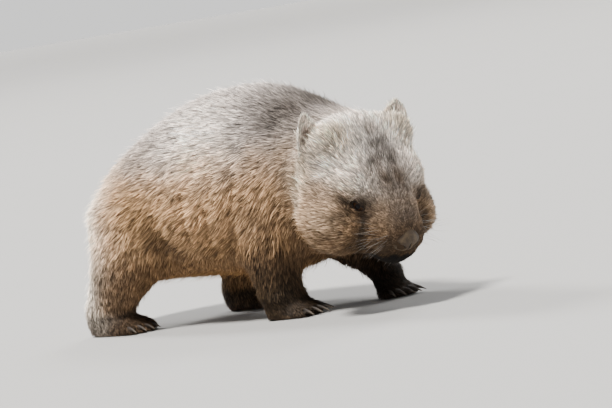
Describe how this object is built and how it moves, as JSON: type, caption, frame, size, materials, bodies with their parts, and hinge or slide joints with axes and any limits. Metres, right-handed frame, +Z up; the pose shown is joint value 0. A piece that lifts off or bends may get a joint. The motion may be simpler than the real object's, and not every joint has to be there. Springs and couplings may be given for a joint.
{
  "type": "wombat",
  "caption": "Still, life-size bare-nosed wombat model, walking on all fours with its head lowered and turned to its right.",
  "frame": {"origin": "on the floor under the middle of the whole model", "axes": "+X the way the animal walks, +Y its left side, +Z up"},
  "size_m": [0.6191, 0.3136, 0.3363],
  "materials": {
    "fur": "thick grey-brown coat",
    "dark_fur": "short dark brown coat of the feet",
    "pale_fur": "short pale coat of the ears",
    "nose_skin": "bare, finely wrinkled",
    "eye_black": "wet gloss",
    "claw_horn": "dark horn"
  },
  "bodies": {
    "root": {"trunk": "fur", "neck": "fur", "head": "fur", "tail": "fur", "right_hind_leg": "fur", "left_hind_leg": "fur", "right_foreleg": "fur", "left_foreleg": "fur", "right_hind_foot": "dark_fur", "left_hind_foot": "dark_fur", "right_forefoot": "dark_fur", "left_forefoot": "dark_fur", "left_ear": "pale_fur", "right_ear": "pale_fur", "left_eye": "eye_black", "right_eye": "eye_black", "nose_pad": "nose_skin", "right_fore_claw_1": "claw_horn", "right_fore_claw_2": "claw_horn", "right_fore_claw_3": "claw_horn", "right_fore_claw_4": "claw_horn", "right_fore_claw_5": "claw_horn", "left_fore_claw_1": "claw_horn", "left_fore_claw_2": "claw_horn", "left_fore_claw_3": "claw_horn", "left_fore_claw_4": "claw_horn", "left_fore_claw_5": "claw_horn", "right_hind_claw_1": "claw_horn", "right_hind_claw_2": "claw_horn", "right_hind_claw_3": "claw_horn", "right_hind_claw_4": "claw_horn", "left_hind_claw_2": "claw_horn", "left_hind_claw_3": "claw_horn", "left_hind_claw_4": "claw_horn", "left_hind_claw_5": "claw_horn"}
  },
  "joints": []
}
